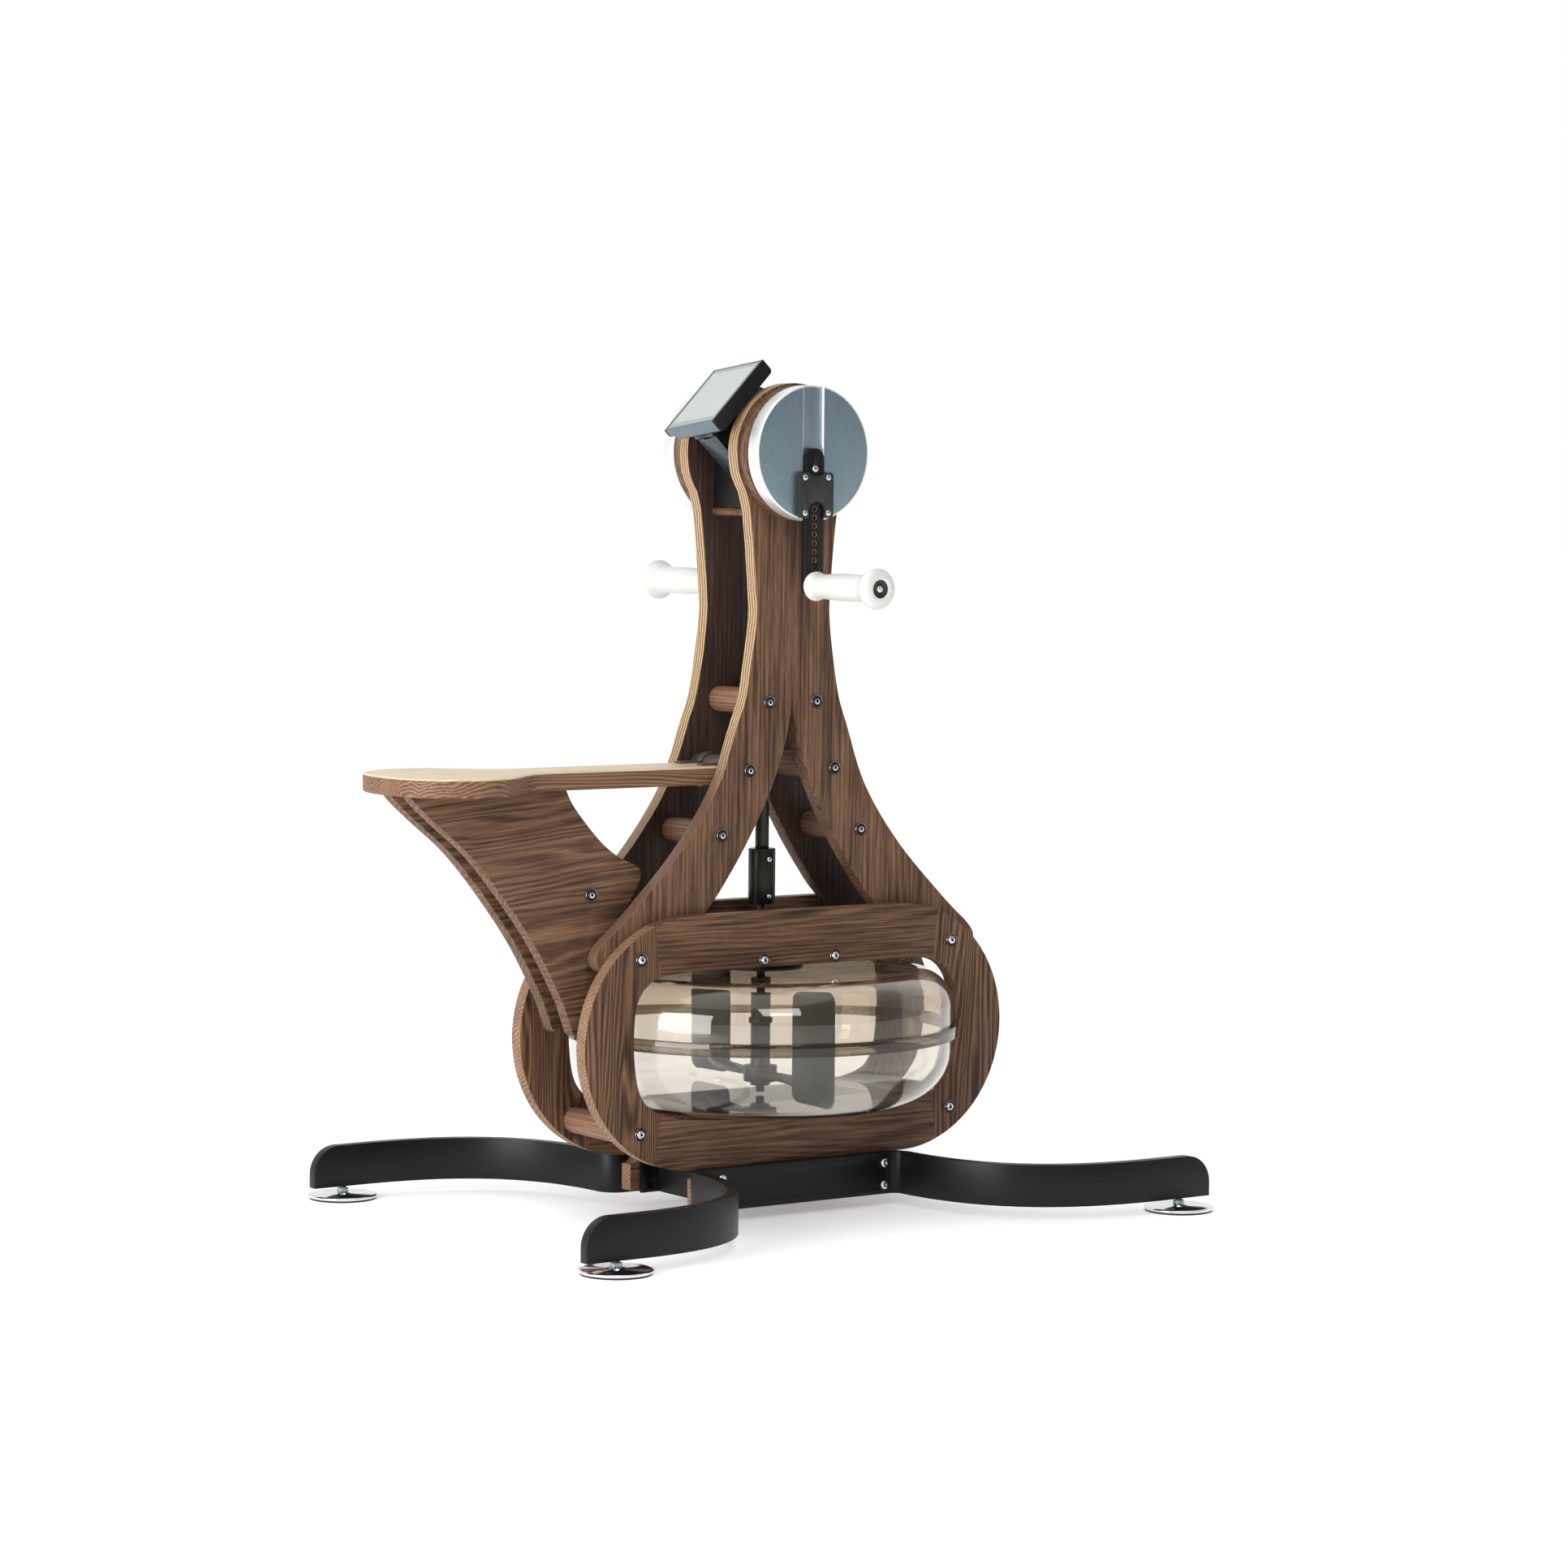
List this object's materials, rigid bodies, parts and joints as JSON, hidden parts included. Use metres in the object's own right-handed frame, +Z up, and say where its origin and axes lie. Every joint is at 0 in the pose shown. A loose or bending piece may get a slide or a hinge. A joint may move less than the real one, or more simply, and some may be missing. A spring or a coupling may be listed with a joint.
{
  "type": "upper body crank trainer",
  "caption": "Wooden A-frame upper-body trainer: two hand cranks turn a paddle in a clear water tank, with a long hook-on wooden seat and bent steel legs.",
  "frame": {"origin": "middle of the footprint on the floor, under the centre of the machine's bounding box", "axes": "+Z up; +X from the seat end to the rear feet; the user sits at -X facing +X, so -Y is the user's right hand"},
  "size_m": [1.1506, 0.824, 1.2016],
  "materials": {
    "stained_ash": "oiled, walnut-brown stain on open-grained ash",
    "turned_ash": "turned and oiled rods",
    "pale_ash": "lacquered pale seat face over a stained edge",
    "black_steel": "satin black powder coat",
    "bright_steel": "polished",
    "gunmetal": "dark oxide, satin",
    "gearcase_black": "satin",
    "smoked_shell": "clear smoked moulding",
    "ring_trim": "smoked trim band",
    "black_moulding": "fine texture",
    "satin_aluminium": "brushed",
    "disc_metal": "satin face with a polished rim",
    "gear_brass": "machined",
    "black_anodised": "black anodised, satin",
    "white_grip": "smooth off-white moulding",
    "paddle_moulding": "smooth grey moulding",
    "display_glass": "clear window over a grey panel"
  },
  "bodies": {
    "base": {"right_panel_ends": "stained_ash", "left_panel_ends": "stained_ash", "right_panel_rails": "stained_ash", "left_panel_rails": "stained_ash", "right_column": "stained_ash", "left_column": "stained_ash", "column_rods": "turned_ash", "hook_rod": "gunmetal", "panel_rods": "turned_ash", "shaft_bridge": "stained_ash", "bearings": "bright_steel", "runners": "stained_ash", "right_leg_bar": "black_steel", "left_leg_bar": "black_steel", "cross_members": "black_steel", "tank_shelf": "stained_ash", "panel_bolts": "bright_steel", "column_bolts": "bright_steel", "leg_bolts": "bright_steel", "gear_housing": "gearcase_black", "gear_shelf": "stained_ash", "axle_bosses": "stained_ash", "tank_upper_shell": "smoked_shell", "tank_lower_shell": "smoked_shell", "tank_ring": "ring_trim", "tank_flange": "black_moulding", "flange_screws": "bright_steel", "display_bracket": "satin_aluminium"},
    "crank": {"crank_axle": "bright_steel", "right_disc": "disc_metal", "left_disc": "disc_metal", "crown_gear": "gear_brass", "clamp_plates": "gunmetal", "clamp_screws": "bright_steel"},
    "right_crank_arm": {"right_arm": "black_anodised", "right_bushes": "gear_brass", "right_spindle": "bright_steel"},
    "left_crank_arm": {"left_arm": "black_anodised", "left_bushes": "gear_brass", "left_spindle": "bright_steel"},
    "right_handle": {"right_grip": "white_grip"},
    "left_handle": {"left_grip": "white_grip"},
    "impeller": {"drive_shaft": "gunmetal", "shaft_sleeve": "gunmetal", "pinion": "gear_brass", "paddle": "paddle_moulding"},
    "display": {"display_case": "black_moulding", "display_screen": "display_glass"},
    "seat": {"seat_board": "pale_ash", "seat_brackets": "stained_ash", "seat_bolts": "bright_steel", "seat_hooks": "bright_steel"},
    "front_right_leveller": {"front_right_foot": "bright_steel"},
    "front_left_leveller": {"front_left_foot": "bright_steel"},
    "rear_right_leveller": {"rear_right_foot": "bright_steel"},
    "rear_left_leveller": {"rear_left_foot": "bright_steel"}
  },
  "joints": [
    {"name": "crank_spin", "type": "hinge", "parent": "base", "child": "crank", "pos_m": [0.04809, 0, 1.072], "axis": [0, 1, 0], "continuous": true},
    {"name": "paddle_spin", "type": "hinge", "parent": "base", "child": "impeller", "pos_m": [0.04809, 0, 0.3], "axis": [0, 0, 1], "continuous": true},
    {"name": "right_length", "type": "slide", "parent": "crank", "child": "right_crank_arm", "axis": [0, 0, 1], "range_m": [0, 0.0714]},
    {"name": "left_length", "type": "slide", "parent": "crank", "child": "left_crank_arm", "axis": [0, 0, 1], "range_m": [0, 0.0714]},
    {"name": "right_grip_spin", "type": "hinge", "parent": "right_crank_arm", "child": "right_handle", "pos_m": [0.04809, 0, 0.887], "axis": [0, 1, 0], "continuous": true},
    {"name": "left_grip_spin", "type": "hinge", "parent": "left_crank_arm", "child": "left_handle", "pos_m": [0.04809, 0, 0.887], "axis": [0, 1, 0], "continuous": true},
    {"name": "display_tilt", "type": "hinge", "parent": "base", "child": "display", "pos_m": [-0.05779, -0.00604, 1.0967], "axis": [0, 0.9942, -0.108], "range_deg": [-30, 0]},
    {"name": "seat_lift", "type": "hinge", "parent": "base", "child": "seat", "pos_m": [-0.02459, 0, 0.62827], "axis": [0, 1, 0], "range_deg": [0, 40]},
    {"name": "front_right_level", "type": "slide", "parent": "base", "child": "front_right_leveller", "axis": [0, 0, -1], "range_m": [0, 0.008]},
    {"name": "front_left_level", "type": "slide", "parent": "base", "child": "front_left_leveller", "axis": [0, 0, -1], "range_m": [0, 0.008]},
    {"name": "rear_right_level", "type": "slide", "parent": "base", "child": "rear_right_leveller", "axis": [0, 0, -1], "range_m": [0, 0.008]},
    {"name": "rear_left_level", "type": "slide", "parent": "base", "child": "rear_left_leveller", "axis": [0, 0, -1], "range_m": [0, 0.008]}
  ],
  "couplings": [
    {"joint": "paddle_spin", "follows": "crank_spin", "ratio": 2}
  ]
}
